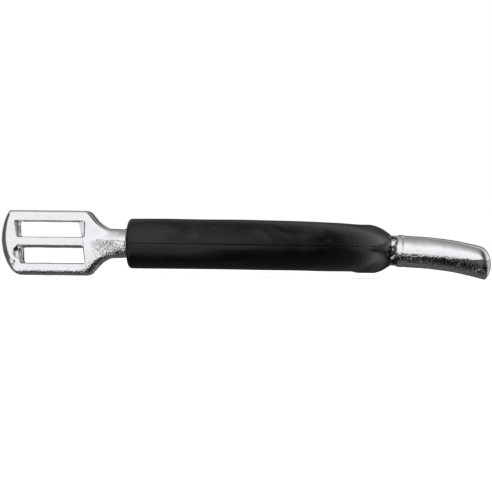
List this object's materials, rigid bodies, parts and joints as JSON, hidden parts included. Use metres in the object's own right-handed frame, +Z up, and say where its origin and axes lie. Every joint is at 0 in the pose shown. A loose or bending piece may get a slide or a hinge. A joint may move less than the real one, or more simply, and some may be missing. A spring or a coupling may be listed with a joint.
{
  "type": "riding spur",
  "caption": "Blunt-necked riding spur: a U-shaped heel band under a moulded rubber cover, slotted strap ends and a short drooping neck.",
  "frame": {"origin": "the middle of the bounding box in plan, on the ground that the strap ends and the neck's tip rest on", "axes": "+X towards the neck, away from the boot's toe; +Y to the wearer's right; +Z up"},
  "size_m": [0.1254, 0.0884, 0.0165],
  "materials": {
    "bright_steel": "polished over a cast surface, with a fine orange-peel waviness and small pits",
    "band_steel": "bare bar, hidden under the cover",
    "black_rubber": "semi-matt moulded rubber with a faint dusty bloom and a parting line"
  },
  "bodies": {
    "root": {"heel_band": "band_steel", "strap_end_left": "bright_steel", "strap_end_right": "bright_steel", "neck": "bright_steel", "rubber_cover": "black_rubber"}
  },
  "joints": []
}
